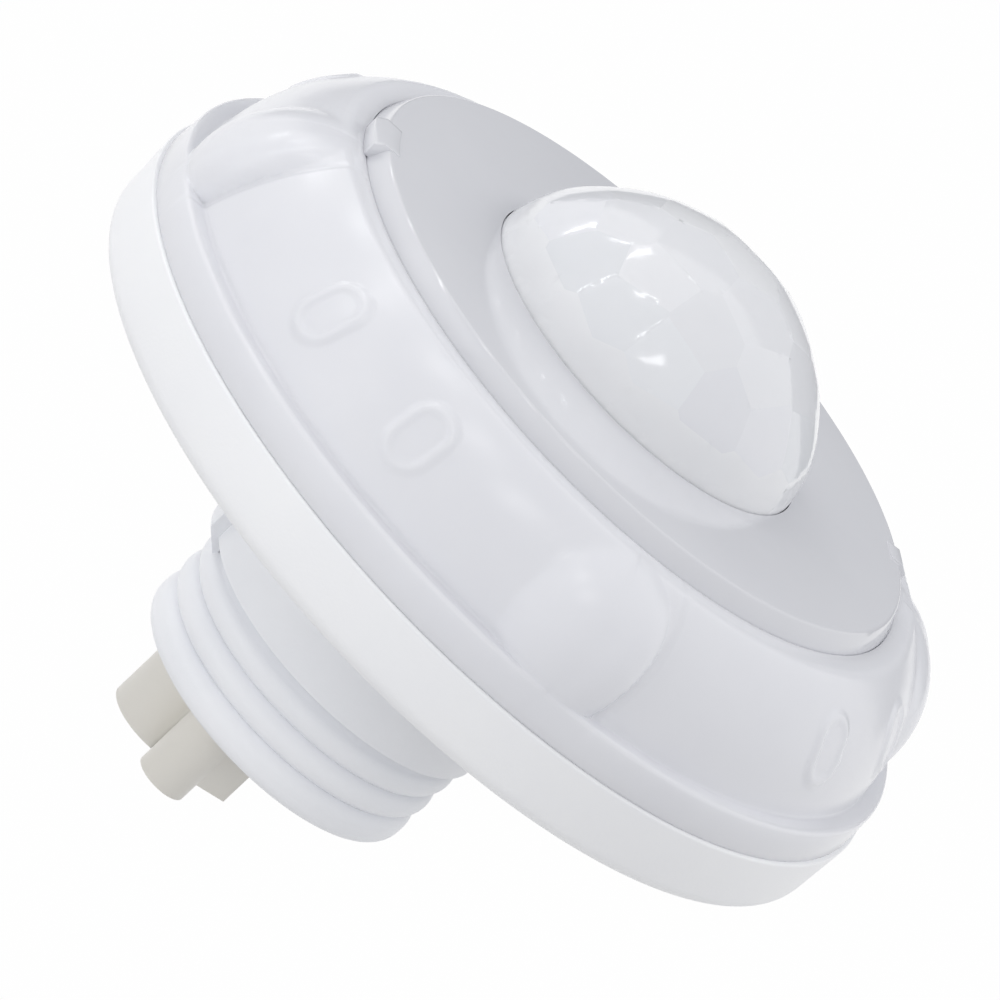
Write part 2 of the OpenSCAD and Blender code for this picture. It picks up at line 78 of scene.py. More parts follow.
# Studio: a white sweep under an even sky. Softboxes from all sides shade the forms, small
# strip lamps draw the highlights on the lens, and a grey card darkens what the disc mirrors.
sky_level, white_share = 0.65, 0.985
floor_drop, floor_half = 0.15, 4
card_at, card_half = (0, 0.7, 0.5), 0.5
softboxes = [  # name, direction, distance, size, watts, shown in the gloss
    ("side_softbox", (-0.86, -0.42, 0.36), 1.2, (0.9, 0.7), 0.7, True),
    ("low_softbox", (-0.84, -0.52, 0.1), 1.3, (0.9, 0.25), 1.4, False),
    ("right_softbox", (0.5, -0.85, 0.5), 1.3, (0.9, 0.4), 2.8, False),
    ("plug_softbox", (-0.5, -0.6, -0.15), 0.45, (0.25, 0.12), 0.24, False),
    ("back_left_softbox", (-0.8, 0.5, 0.4), 1.3, (0.8, 0.6), 2.8, False),
    ("back_right_softbox", (0.5, 0.5, 0.7), 1.4, (0.8, 0.8), 4.7, False),
]
strip_distance, strip_size, strip_watts = 1.2, (0.26, 0.055), 0.28
strip_run = (0.48, 0.78, 0.38)
strip_places = [
    (-0.51, 0.21, 0.84), (-0.74, -0.20, 0.65), (-0.20, -0.39, 0.90), (0.04, -0.54, 0.84),
    (-0.73, 0.53, 0.43), (-0.62, 0.00, 0.78), (-0.38, -0.12, 0.92), (-0.62, 0.37, 0.69),
]


def linear(hex_colour):
    """The linear colour that Blender's sockets take, from an sRGB hex colour."""
    channels = [int(hex_colour[i:i + 2], 16) / 255 for i in (0, 2, 4)]
    return [c / 12.92 if c <= 0.04045 else ((c + 0.055) / 1.055) ** 2.4 for c in channels] + [1]


def add_node(tree, kind, inputs=(), **settings):
    """Adds a node, sets its attributes, and fills its sockets with values or links."""
    made = tree.nodes.new(kind)
    for name, value in settings.items():
        setattr(made, name, value)
    for name, value in dict(inputs).items():
        if isinstance(value, bpy.types.NodeSocket):
            tree.links.new(value, made.inputs[name])
        else:
            made.inputs[name].default_value = value
    return made


def seen_directly(tree):
    """1 for the rays that show the background: from the camera, a gloss or a clear wall."""
    path = add_node(tree, "ShaderNodeLightPath")
    first = add_node(tree, "ShaderNodeMath", {
        0: path.outputs["Is Camera Ray"], 1: path.outputs["Is Glossy Ray"]
    }, operation="MAXIMUM")
    return add_node(tree, "ShaderNodeMath", {
        0: first.outputs[0], 1: path.outputs["Is Transmission Ray"]
    }, operation="MAXIMUM").outputs[0]


def new_material(name):
    """A material and its emptied node tree."""
    material = bpy.data.materials.new(name)
    material.use_nodes = True
    material.node_tree.nodes.clear()
    return material, material.node_tree


def flat_sheet(name, half_size, matrix, material):
    """A square sheet of the studio."""
    bm = bmesh.new()
    bmesh.ops.create_grid(bm, x_segments=1, y_segments=1, size=half_size, matrix=matrix)
    data = bpy.data.meshes.new(name)
    bm.to_mesh(data)
    bm.free()
    data.materials.append(material)
    sheet = bpy.data.objects.new(name, data)
    scene.collection.objects.link(sheet)
    return sheet


def soft_lamp(name, towards, distance, size, watts, mirrored, along=None):
    """A lamp facing the sensor, with its long side level or along a direction."""
    data = bpy.data.lights.new(name, "AREA")
    data.shape = "RECTANGLE"
    data.size, data.size_y = size
    data.energy = watts
    lamp = bpy.data.objects.new(name, data)
    facing = Vector(towards).normalized()
    side = Vector(along) if along else Vector((0, 0, 1)).cross(facing)
    side = (side - facing * side.dot(facing)).normalized()
    axes = Matrix((side, facing.cross(side), facing)).transposed()
    lamp.location = facing * distance
    lamp.rotation_mode = "QUATERNION"
    lamp.rotation_quaternion = axes.to_quaternion()
    lamp.visible_camera = False
    lamp.visible_glossy = mirrored
    scene.collection.objects.link(lamp)


world = bpy.data.worlds.new("white_studio")
world.use_nodes = True
sky = world.node_tree
sky.nodes.clear()
ambient = add_node(sky, "ShaderNodeBackground", {
    "Color": linear("F6F6F8"), "Strength": sky_level
})
backdrop = add_node(sky, "ShaderNodeBackground", {"Color": linear("FFFFFF"), "Strength": 1.0})
sky_mix = add_node(sky, "ShaderNodeMixShader", {
    0: seen_directly(sky), 1: ambient.outputs[0], 2: backdrop.outputs[0]
})
add_node(sky, "ShaderNodeOutputWorld", {"Surface": sky_mix.outputs[0]})
scene.world = world

# Matt white paper: glows white where it is seen directly, and keeps a little of the shadow.
floor_paper, paper = new_material("white_paper_sweep")
paper_lit = add_node(paper, "ShaderNodeBsdfDiffuse", {"Color": linear("C8C8C8")})
paper_glow = add_node(paper, "ShaderNodeEmission", {"Color": linear("FFFFFF"), "Strength": 1.0})
glow_share = add_node(paper, "ShaderNodeMath", {
    0: seen_directly(paper), 1: white_share
}, operation="MULTIPLY")
paper_mix = add_node(paper, "ShaderNodeMixShader", {
    0: glow_share.outputs[0], 1: paper_lit.outputs[0], 2: paper_glow.outputs[0]
})
add_node(paper, "ShaderNodeOutputMaterial", {"Surface": paper_mix.outputs[0]})
floor = flat_sheet("studio_floor", floor_half,
                   Matrix.Translation((0, 0, cad_box[0][2] - floor_drop)), floor_paper)

for softbox in softboxes:
    soft_lamp(*softbox)
for number, place in enumerate(strip_places):
    soft_lamp(f"strip_lamp_{number}", place, strip_distance, strip_size, strip_watts, True,
              along=strip_run)

# Matt grey card: seen only in glosses, as the dim part of a room.
card_paint, card_tree = new_material("matt_grey_card")
card_glow = add_node(card_tree, "ShaderNodeEmission", {
    "Color": linear("8A8C90"), "Strength": 1.0
})
add_node(card_tree, "ShaderNodeOutputMaterial", {"Surface": card_glow.outputs[0]})
grey_card = flat_sheet("grey_card", card_half,
                       Matrix.Translation(card_at) @ Matrix.Rotation(pi / 2, 4, "X"), card_paint)
grey_card.visible_camera = False
grey_card.visible_shadow = False
grey_card.visible_diffuse = False


# Base ring: injection-moulded ABS, satin white, with a rounded back edge and a slight draft.
# Its outside is the white band. The tray inside carries four posts and the spigot that
# holds the cover's seal.
band_r, back_r, band_h, band_wall, back_t = 45.0, 44.6, 7.4, 2.2, 2.4
register_r = 17.8
spigot_out, spigot_in, spigot_top = 41.6, 40.3, 9.0
post_turns, post_at, post_r, post_top, post_sides = (45, 135, 225, 315), 33.8, 3.0, 6.8, 40
back_round, band_round, mouth_round = 1.8, 0.25, 0.2
base_steps = 288
same_point, on_circle = 0.001, 0.01
smooth_below = radians(38)
cloud_scale, grain_depth = 90.0, 0.0001


def revolve(outline, steps, copies=1):
    """An outline of (radius, height) points spun round the axis, as one or more sectors."""
    bm = bmesh.new()
    corners = [bm.verts.new((r, 0, z)) for r, z in outline]
    sides = [bm.edges.new(ends) for ends in zip(corners, corners[1:] + corners[:1])]
    bmesh.ops.spin(bm, geom=corners + sides, cent=(0, 0, 0), axis=(0, 0, 1),
                   angle=tau / copies, steps=steps // copies, use_merge=copies == 1)
    sector = bm.verts[:] + bm.edges[:] + bm.faces[:]
    for turn in range(1, copies):
        copy = bmesh.ops.duplicate(bm, geom=sector)["geom"]
        bmesh.ops.rotate(bm, verts=[v for v in copy if isinstance(v, bmesh.types.BMVert)],
                         cent=(0, 0, 0), matrix=Matrix.Rotation(tau * turn / copies, 3, "Z"))
    bmesh.ops.remove_doubles(bm, verts=bm.verts, dist=same_point)
    bmesh.ops.recalc_face_normals(bm, faces=bm.faces)
    return bm


def round_edges(bm, edges, rounding, segments):
    """Rounds edges of a part."""
    bmesh.ops.bevel(bm, geom=edges, offset=rounding, offset_type="OFFSET", segments=segments,
                    profile=0.5, affect="EDGES", clamp_overlap=True, material=-1)


def round_ring(bm, radius, height, rounding, segments):
    """Rounds the corner that runs round the part at that radius and height."""
    ring = {
        v for v in bm.verts if abs(hypot(v.co.x, v.co.y) - radius) < on_circle
        and abs(v.co.z - height) < on_circle
    }
    edges = [e for e in bm.edges if e.verts[0] in ring and e.verts[1] in ring]
    round_edges(bm, edges, rounding, segments)


def make_piece(bm, name, material, slot, *nodes):
    """Turns a mesh in mm into a named piece in metres that stands for CAD nodes."""
    bmesh.ops.scale(bm, vec=(0.001, 0.001, 0.001), verts=bm.verts)
    data = bpy.data.meshes.new(name)
    bm.to_mesh(data)
    bm.free()
    data.shade_smooth()
    data.set_sharp_from_angle(angle=smooth_below)
    data.materials.append(material)
    piece = bpy.data.objects.new(name, data)
    scene.collection.objects.link(piece)
    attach(piece, "root")
    if nodes:
        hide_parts(*nodes)
    return piece


def moulding(name, colour, shade, roughness, grain_mm, relief, **sockets):
    """Moulded plastic: clouds of about 11 mm between two near colours, and the tool's grain.
    The real grain is a tenth of a millimetre or less; it is drawn as coarse as it needs to show."""
    material, tree = new_material(name)
    place = add_node(tree, "ShaderNodeTexCoord").outputs["Object"]
    cloud = add_node(tree, "ShaderNodeTexNoise", {
        "Vector": place, "Scale": cloud_scale, "Detail": 3.0, "Roughness": 0.5
    })
    mix = add_node(tree, "ShaderNodeMixRGB", {
        "Fac": cloud.outputs["Fac"], "Color1": linear(colour), "Color2": linear(shade)
    })
    grain = add_node(tree, "ShaderNodeTexNoise", {
        "Vector": place, "Scale": 1000 / grain_mm, "Detail": 2.0
    })
    bump = add_node(tree, "ShaderNodeBump", {
        "Height": grain.outputs["Fac"], "Strength": relief, "Distance": grain_depth
    })
    shader = add_node(tree, "ShaderNodeBsdfPrincipled", {
        "Base Color": mix.outputs["Color"], "Roughness": roughness,
        "Normal": bump.outputs["Normal"], **sockets
    })
    add_node(tree, "ShaderNodeOutputMaterial", {"Surface": shader.outputs[0]})
    return material


# Satin white ABS: opaque, the whitest of the outer parts, with a broad, soft sheen.
band_abs = moulding("satin_white_abs", "F6F7F8", "F1F2F5", 0.38, 0.35, 0.15)
base = revolve([
    (register_r, 0), (back_r, 0), (band_r, band_h), (band_r - band_wall, band_h),
    (band_r - band_wall, back_t), (spigot_out, back_t), (spigot_out, spigot_top),
    (spigot_in, spigot_top), (spigot_in, back_t), (register_r, back_t),
], base_steps)
round_ring(base, back_r, 0, back_round, 8)
round_ring(base, band_r, band_h, band_round, 3)
round_ring(base, band_r - band_wall, band_h, mouth_round, 2)
for post_turn in post_turns:
    angle = radians(post_turn)
    place = Matrix.Translation((post_at * cos(angle), post_at * sin(angle),
                                (back_t + post_top) / 2))
    bmesh.ops.create_cone(base, cap_ends=True, segments=post_sides, radius1=post_r,
                          radius2=post_r, depth=post_top - back_t, matrix=place)
make_piece(base, "base_ring", band_abs, "base_white", "base_housing")


# Neck: moulded nylon in a cooler white, screwed to the tray by its flange. A plain collar fits
# the luminaire's hole, rounded ribs take the clip, and a low pad keys it against turning.
collar_r, collar_l, neck_bore = 16.3, 15.0, 13.2
rib_r, rib_round, rib_pitch, rib_first, rib_count, lip_l = 15.9, 1.6, 3.0, 17.4, 3, 2.2
root_rise, first_rib_turn = 0.35, 62
neck_end = rib_first + (rib_count - 1) * rib_pitch + lip_l
flange_r, flange_t = 22.2, 2.0
collar_round, bore_round = 0.12, 0.3
pad_r, pad_l, pad_turn, pad_half, pad_steps = 17.6, 14.6, radians(-176), radians(16), 24
pad_root_r, pad_root_l = 15.3, 16.9
neck_steps, rib_points, lip_points = 240, 15, 9
sharp_above = 0.6


def arc(centre_r, centre_z, radius, start, end, count):
    """Points of an arc in an outline, angles in degrees from the outward direction."""
    turns = [radians(start + (end - start) * k / (count - 1)) for k in range(count)]
    return [(centre_r + radius * cos(t), centre_z + radius * sin(t)) for t in turns]


def add_sector(part, outline, middle, half, steps, rounding=0):
    """Adds a block to a part: an outline swept to both sides of an angle."""
    block = bmesh.new()
    block.faces.new([block.verts.new((r, 0, z)) for r, z in outline])
    bmesh.ops.rotate(block, verts=block.verts, cent=(0, 0, 0),
                     matrix=Matrix.Rotation(middle - half, 3, "Z"))
    bmesh.ops.spin(block, geom=block.verts[:] + block.edges[:] + block.faces[:],
                   cent=(0, 0, 0), axis=(0, 0, 1), angle=2 * half, steps=steps)
    bmesh.ops.recalc_face_normals(block, faces=block.faces)
    if rounding:
        sharp = [
            e for e in block.edges
            if len(e.link_faces) == 2 and e.calc_face_angle() > sharp_above
        ]
        round_edges(block, sharp, rounding, 2)
    data = bpy.data.meshes.new("block_shape")
    block.to_mesh(data)
    block.free()
    part.from_mesh(data)
    bpy.data.meshes.remove(data)


half_gap = asin(rib_pitch / 2 / rib_round) * 180 / pi
rib_x = rib_r - rib_round
neck_outline = [(register_r, 0), (collar_r, 0), (collar_r, -collar_l),
                (rib_x + root_rise, -collar_l)]
for rib in range(rib_count):
    top = first_rib_turn if rib == 0 else half_gap
    low = -half_gap if rib < rib_count - 1 else 0
    neck_outline += arc(rib_x, -rib_first - rib * rib_pitch, rib_round, top, low, rib_points)
neck_outline += arc(rib_x, -neck_end + rib_round, rib_round, 0, -90, lip_points)
neck_outline += [
    (neck_bore, -neck_end), (neck_bore, back_t + flange_t), (flange_r, back_t + flange_t),
    (flange_r, back_t), (register_r, back_t),
]
# Cool white nylon: a bluer, duller white than the band, with a soft sheen along the ribs.
neck_plastic = moulding("cool_white_nylon", "F4F5F8", "EDEFF3", 0.42, 0.3, 0.2)
neck = revolve(neck_outline, neck_steps)
round_ring(neck, collar_r, -collar_l, collar_round, 2)
round_ring(neck, neck_bore, -neck_end, bore_round, 3)
pad_outline = [(pad_root_r, 0), (pad_r, 0), (pad_r, -pad_l), (pad_root_r, -pad_root_l)]
add_sector(neck, pad_outline, pad_turn, pad_half, pad_steps)
make_piece(neck, "ribbed_neck", neck_plastic, "neck_grey", "neck")


# Cover: moulded opal polycarbonate, 2 mm thick, with a bowed wall, pushed over the seal on
# the base's spigot. The four finger grips are low domes cut off steeply on one side, and the
# eight oblong buttons are barely raised.
skirt_r, skirt_top_r, ledge_z, foot_r = 44.6, 44.4, 11.2, 42.5
head_r, step_z, cover_wall, disc_hole = 35.7, 23.3, 2.0, 33.35
wall_bow, shoulder_round, foot_round = 1.5, 1.6, 0.35
skirt_round, hem_round, hole_round = 0.45, 0.15, 0.2
ledge_first, ledge_gap, ledge_count, flat_gap = 0.55, 0.25, 4, 0.5
cover_steps, cover_sectors = 1080, 8
wall_rows, foot_points, shoulder_points, inner_points = 40, 5, 7, 9
slope = atan2(step_z - ledge_z, foot_r - head_r)
wall_run = hypot(foot_r - head_r, step_z - ledge_z)
bow_r = ((wall_run / 2) ** 2 + wall_bow ** 2) / (2 * wall_bow)
bow_x = (foot_r + head_r) / 2 - sin(slope) * (bow_r - wall_bow)
bow_z = (ledge_z + step_z) / 2 - cos(slope) * (bow_r - wall_bow)
grip_turns = [19.6 + 90 * k for k in range(4)]
grip_h, grip_r, grip_drop, grip_run, grip_edge, grip_fall = 3.5, 11.2, 1.3, 5.3, 4.2, 0.7
ball_fillet, cut_fillet, fillet_reach = 0.3, 0.08, 6
cut_lean, crease_w, crease_depth, crease_fade = 0.75, 1.0, 0.12, 0.4
button_turns = [-3, -25, -103, -124, -193, -215, -283, -305]
button_l, button_w, button_h, button_dish = 7.4, 5.2, 0.3, 0.2
rim_in, rim_out, dish_in, dish_out = -0.5, 0.3, -1.2, -0.6
grip_patch, button_patch, patch_depth = (9.5, 9), (4.5, 3.5), 4
skin_depth, skin_low, skin_in = 1, 0.4, 0.3


def wall_frame(turn):
    """The wall's frame at a turn: x down the slope, y round the rim, z outwards."""
    return (
        Matrix.Rotation(radians(turn), 4, "Z")
        @ Matrix.Translation(((foot_r + head_r) / 2, 0, (ledge_z + step_z) / 2))
        @ Matrix.Rotation(slope, 4, "Y")
    )


def ramp(value, start, end):
    """0 before start and 1 after end, with a smooth step between them."""
    t = min(1.0, max(0.0, (value - start) / (end - start)))
    return t * t * (3 - 2 * t)


def blend_over(low, high, softness):
    """The higher of two heights, with a soft fillet where they meet."""
    gap = high - low
    if gap < -fillet_reach * softness:
        return low
    return low + (gap + sqrt(gap * gap + softness * softness)) / 2


def over_grip(x, y, low):
    """Height of the skin with a grip over it: a ball end, a rounded, leaning cut, a crease."""
    end = grip_run + cut_lean * wall_bow * max(0.0, 1 - (2 * x / wall_run) ** 2)
    along = max(0.0, y - (end - grip_edge)) / grip_edge
    reach = grip_r ** 2 - (x - grip_drop) ** 2 - min(0.0, y) ** 2
    if reach <= 0:
        return low
    ball = sqrt(reach) + grip_h - grip_r
    if along >= 1:
        crease = max(0.0, 1 - abs(y - end - crease_w / 2) / (crease_w / 2))
        return low - crease_depth * ramp(ball - low, 0.0, crease_fade) * sqrt(crease)
    high = ball - grip_h * grip_fall * (1 - sqrt(1 - along * along))
    return blend_over(low, high, ball_fillet if y < 0 else cut_fillet)


def over_button(x, y, low):
    """Height of the skin with an oblong button over it: a soft rim round a shallow dish."""
    spread = (button_l - button_w) / 2
    from_edge = hypot(max(0.0, abs(x) - spread), y) - button_w / 2
    rise = 1 - ramp(from_edge, rim_in, rim_out)
    dish = 1 - ramp(from_edge, dish_in, dish_out)
    return low + button_h * rise - button_dish * dish


def turn_of(radius, z):
    """Angle in degrees from the middle of the wall's bow to a point of the section."""
    return atan2(z - bow_z, radius - bow_x) * 180 / pi


roof_z, knee_z = step_z - cover_wall, ledge_z - cover_wall
shoulder_z, hollow_z = step_z - shoulder_round, ledge_z + foot_round
shoulder_x = bow_x + sqrt((bow_r - shoulder_round) ** 2 - (shoulder_z - bow_z) ** 2)
hollow_x = bow_x + sqrt((bow_r + foot_round) ** 2 - (hollow_z - bow_z) ** 2)
inner_x = bow_x + sqrt((bow_r - cover_wall) ** 2 - (roof_z - bow_z) ** 2)
hollow_turn, shoulder_turn = turn_of(hollow_x, hollow_z), turn_of(shoulder_x, shoulder_z)
section = [(skirt_r, band_h), (skirt_top_r, ledge_z)]
section += [(skirt_top_r - ledge_first - ledge_gap * k, ledge_z) for k in range(ledge_count)]
section += arc(hollow_x, hollow_z, foot_round, 270, hollow_turn + 180, foot_points)
section += arc(bow_x, bow_z, bow_r, hollow_turn, shoulder_turn, wall_rows)[1:]
section += arc(shoulder_x, shoulder_z, shoulder_round, shoulder_turn, 90, shoulder_points)[1:]
section += [(shoulder_x - flat_gap, step_z), (shoulder_x - 2 * flat_gap, step_z)]
section += [(disc_hole, step_z), (disc_hole, roof_z)]
section += arc(bow_x, bow_z, bow_r - cover_wall, turn_of(inner_x, roof_z),
               turn_of(foot_r - cover_wall, knee_z), inner_points)
section += [(skirt_r - cover_wall, knee_z), (skirt_r - cover_wall, band_h)]
cover = revolve(section, cover_steps, copies=cover_sectors)
round_ring(cover, skirt_top_r, ledge_z, skirt_round, 3)
round_ring(cover, skirt_r, band_h, hem_round, 2)
round_ring(cover, disc_hole, step_z, hole_round, 2)
# Only the wall's outer skin takes the relief: not its inside, the ledge or the hole's edge.
wall_skin = [
    v for v in cover.verts
    if hypot(hypot(v.co.x, v.co.y) - bow_x, v.co.z - bow_z) > bow_r - skin_depth
    and v.co.z > ledge_z - skin_low and hypot(v.co.x, v.co.y) > disc_hole + skin_in
]
for turns, shape, (half_x, half_y) in [(grip_turns, over_grip, grip_patch),
                                       (button_turns, over_button, button_patch)]:
    for turn in turns:
        place = wall_frame(turn)
        back = place.inverted()
        for vert in wall_skin:
            local = back @ vert.co
            if local.z > -patch_depth and abs(local.x) < half_x and abs(local.y) < half_y:
                local.z = shape(local.x, local.y, local.z)
                vert.co = place @ local

# Opal polycarbonate: light sinks in a little, so shadows in the creases stay soft and cool,
# and a polished skin lays broad, clear highlights over the grips.
opal = moulding("opal_polycarbonate", "E6E7EB", "E0E1E6", 0.23, 0.5, 0.05, **{
    "Subsurface Weight": 0.35, "Subsurface Radius": (1.0, 1.0, 1.0),
    "Subsurface Scale": 0.002, "IOR": 1.58,
})
make_piece(cover, "opal_cover", opal, "cover_translucent", "cover")


# Front disc: a glossy moulded polycarbonate plate whose lip snaps under the cover's roof. Two
# snap tabs stand over the step at its rim, and its face mirrors the foot of the lens.
disc_foot_r, disc_face_r, face_z, disc_t = 33.3, 32.3, 25.24, 2.0
lens_r, lens_gap, lip_r, lip_t, disc_plug_r = 18.5, 0.01, 34.05, 1.3, 31.4
disc_round, disc_steps = 0.3, 288
snap_tabs = [(-163, 6.0, 0.5), (25.7, 3.0, 0.2)]  # turn, width, reach past the disc
tab_root, tab_rise, tab_fall, tab_slope, tab_round, tab_steps = 1.2, 0.1, 0.5, 0.9, 0.12, 10
disc_hole_r, disc_back = lens_r + lens_gap, face_z - disc_t
disc = revolve([
    (disc_hole_r, face_z), (disc_face_r, face_z), (disc_foot_r, step_z), (disc_foot_r, roof_z),
    (lip_r, roof_z), (lip_r, roof_z - lip_t), (disc_plug_r, roof_z - lip_t),
    (disc_plug_r, disc_back), (disc_hole_r, disc_back),
], disc_steps)
round_ring(disc, disc_face_r, face_z, disc_round, 4)
for tab_turn, tab_width, tab_reach in snap_tabs:
    root, edge = disc_face_r - tab_root, disc_foot_r + tab_reach
    tab_outline = [
        (root, step_z), (edge, step_z), (edge, face_z - tab_fall),
        (edge - tab_slope, face_z + tab_rise), (root, face_z + tab_rise),
    ]
    add_sector(disc, tab_outline, radians(tab_turn), asin(tab_width / 2 / disc_foot_r),
               tab_steps, tab_round)
# Glossy polycarbonate: greyer than the cover, and smooth enough to mirror what stands on it.
disc_gloss = moulding("glossy_polycarbonate", "DBDCE0", "D6D7DC", 0.09, 1.2, 0.02, IOR=1.6)
make_piece(disc, "front_plate", disc_gloss, "disc_gloss", "front_disc")


# Lens: a thin dome of moulded milky polyethylene, its flange held between the disc and a
# retainer. Each cell of its skin is a small lens, seen from outside as a slightly flattened
# five- or six-sided facet above a plain foot.
lens_mid_z, lens_side_x, lens_side_r, lens_crown_r, lens_top = 24.0, 7.0, 11.5, 20.406, 38.9
crown_end = radians(66.1)
lens_foot_z, lens_flange_r, lens_flange_t, film_t = 21.94, 21.0, 1.3, 0.9
cell_centre_z, cell_flatness, seam_depth, foot_rise = 23.06, 0.3, 0.02, 0.15
corner_level = cos(radians(10.5))
# Each row's last column is a painted shade that multiplies the lens's colour. It is lighter at the
# top and foot, and darker and faintly blue in the rows between, standing in for the sensor's shade
# seen through the film.
cell_rows = [  # cells, lean and first turn in degrees, shade
    (1, 0, 0, (0.978, 0.981, 0.986)), (5, 25.9, 19.6, (0.97, 0.974, 0.98)),
    (10, 45.7, 63.6, (0.962, 0.966, 0.974)), (15, 60.2, 34.8, (0.954, 0.96, 0.97)),
    (20, 81.9, 28.2, (0.974, 0.976, 0.98)),
]
painted_shade_step = 0.012
skin_divisions, seam_reach, seam_run, seam_merge = 5, 0.04, 0.8, 0.0005


def lens_reach(direction):
    """Distance along a unit direction from the middle of the cells to the lens's skin."""
    lean, rise = hypot(direction.x, direction.y), direction.z
    drop = cell_centre_z - (lens_top - lens_crown_r)
    reach = -drop * rise + sqrt(lens_crown_r ** 2 - drop ** 2 * (1 - rise ** 2))
    if atan2(lean * reach, cell_centre_z + rise * reach - lens_mid_z) < crown_end:
        return reach
    sink = lens_mid_z - cell_centre_z
    along = lens_side_x * lean + sink * rise
    return along + sqrt(along ** 2 - lens_side_x ** 2 - sink ** 2 + lens_side_r ** 2)


# The net joins the middles of the cells; its lowest point only closes it below the foot.
cell_net = bmesh.new()
cell_net.verts.new((0, 0, -1))
painted_cell_shades = [(1.0, 1.0, 1.0, 1.0)]
for count, tilt, turn, shade in cell_rows:
    lean, rise = sin(radians(tilt)), cos(radians(tilt))
    for number in range(count):
        around = radians(turn) + tau * number / count
        cell_net.verts.new((lean * cos(around), lean * sin(around), rise))
        # Painted shade: every cell above the foot row is made lighter or darker by up to one step
        # in a fixed pattern. This stands in for how each flattened facet catches the light.
        step = (len(painted_cell_shades) * 7 % 5 - 2) / 2 if tilt < cell_rows[-1][1] else 0
        painted_cell_shades.append([c + painted_shade_step * step for c in shade] + [1.0])
bmesh.ops.convex_hull(cell_net, input=cell_net.verts)
cell_middles = [v.co.copy() for v in cell_net.verts]
neighbours = [(e.verts[0].co.copy(), e.verts[1].co.copy()) for e in cell_net.edges]
cell_net.free()

lens = bmesh.new()
bmesh.ops.create_icosphere(lens, subdivisions=skin_divisions, radius=1)
bmesh.ops.bisect_plane(lens, geom=lens.verts[:] + lens.edges[:] + lens.faces[:],
                       plane_co=(0, 0, foot_rise), plane_no=(0, 0, 1), clear_inner=True)
for one, other in neighbours:
    halfway, across = (one + other) / 2, one - other
    crossed = [
        f for f in lens.faces if abs(f.calc_center_median().dot(across)) < seam_reach
        and (f.calc_center_median() - halfway).length < across.length * seam_run
    ]
    region = {v for f in crossed for v in f.verts} | {e for f in crossed for e in f.edges}
    bmesh.ops.bisect_plane(lens, geom=list(region) + crossed, plane_co=(0, 0, 0),
                           plane_no=across.normalized())
bmesh.ops.remove_doubles(lens, verts=lens.verts, dist=seam_merge)
bmesh.ops.subdivide_edges(lens, edges=lens.edges, cuts=1, use_grid_fill=True)
for vert in lens.verts:
    if not vert.is_boundary:
        vert.co.normalize()
cell_of = {
    f: max(range(len(cell_middles)), key=lambda k: f.calc_center_median().dot(cell_middles[k]))
    for f in lens.faces
}
# Each face's corners take the painted shade of its cell.
painted_shade_layer = lens.loops.layers.color.new("painted_cell_shade")
for face in lens.faces:
    for loop in face.loops:
        loop[painted_shade_layer] = painted_cell_shades[cell_of[face]]
for vert in lens.verts:
    direction = vert.co.normalized()
    reach = lens_reach(direction)
    if not vert.is_boundary:
        cells = {cell_of[f] for f in vert.link_faces}
        flat = [corner_level / direction.dot(cell_middles[k]) for k in cells]
        level = (1 - cell_flatness) + cell_flatness * sum(flat) / len(flat)
        reach = reach * level - (seam_depth if len(cells) > 1 else 0)
    vert.co = direction * reach + Vector((0, 0, cell_centre_z))
flange_top_z = lens_foot_z + lens_flange_t
rim = [e for e in lens.edges if e.is_boundary]
for radius, height in [(lens_r, lens_mid_z), (lens_r, flange_top_z),
                       (lens_flange_r, flange_top_z), (lens_flange_r, lens_foot_z)]:
    grown = bmesh.ops.extrude_edge_only(lens, edges=rim)["geom"]
    rim = [g for g in grown if isinstance(g, bmesh.types.BMEdge)]
    for vert in {v for e in rim for v in e.verts}:
        outward = Vector((vert.co.x, vert.co.y, 0)).normalized()
        vert.co = outward * radius + Vector((0, 0, height))
bmesh.ops.recalc_face_normals(lens, faces=lens.faces)
# Milky polyethylene: light spreads inside the film, with sharp little lights of the lamps on its
# glossy skin. Each cell's colour is multiplied by a painted shade that is even over the cell.
milky_film = moulding("milky_polyethylene", "F4F4F6", "F0F1F4", 0.09, 0.8, 0.03, **{
    "Subsurface Weight": 0.5, "Subsurface Radius": (1.0, 1.0, 1.0),
    "Subsurface Scale": 0.002, "IOR": 1.54,
})
film_tree = milky_film.node_tree
film_colour = film_tree.nodes["Principled BSDF"].inputs["Base Color"]
# Painted shade: the cells' shades from the colour layer multiply the film's clouded colour.
painted_cell_shade = add_node(film_tree, "ShaderNodeVertexColor", layer_name="painted_cell_shade")
film_with_painted_shade = add_node(film_tree, "ShaderNodeMixRGB", {
    "Fac": 1.0, "Color1": film_colour.links[0].from_socket, "Color2": painted_cell_shade.outputs["Color"]
}, blend_type="MULTIPLY")
film_tree.links.new(film_with_painted_shade.outputs["Color"], film_colour)
lens_piece = make_piece(lens, "faceted_lens", milky_film, "lens_white", "lens")
film = lens_piece.modifiers.new("film_thickness", "SOLIDIFY")
film.thickness = film_t / 1000
film.offset = -1


# Plug: moulded natural nylon. A plate across the neck's bore carries a round, a long and a
# square housing, and their open ends take the luminaire's connector.
plug_merge = 0.00001
# Natural nylon: an unpainted cream, warmer than every other part, with a dull gloss.
plug_nylon = moulding("natural_nylon", "FCFAF4", "F8F4EA", 0.4, 0.4, 0.15, IOR=1.5)
plug = bmesh.new()
plug.from_mesh(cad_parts["plug_housing"].data)
bmesh.ops.remove_doubles(plug, verts=plug.verts, dist=plug_merge)
bmesh.ops.recalc_face_normals(plug, faces=plug.faces)
bmesh.ops.scale(plug, vec=(1000, 1000, 1000), verts=plug.verts)
make_piece(plug, "plug_block", plug_nylon, "plug_cream", "plug_housing")


# Small parts inside, and the plug's contacts: the CAD solids with the finish of the real
# parts. Nothing of them shows from outside but the contacts and the wires' ends.
gloss_low, gloss_high = 0.8, 1.3


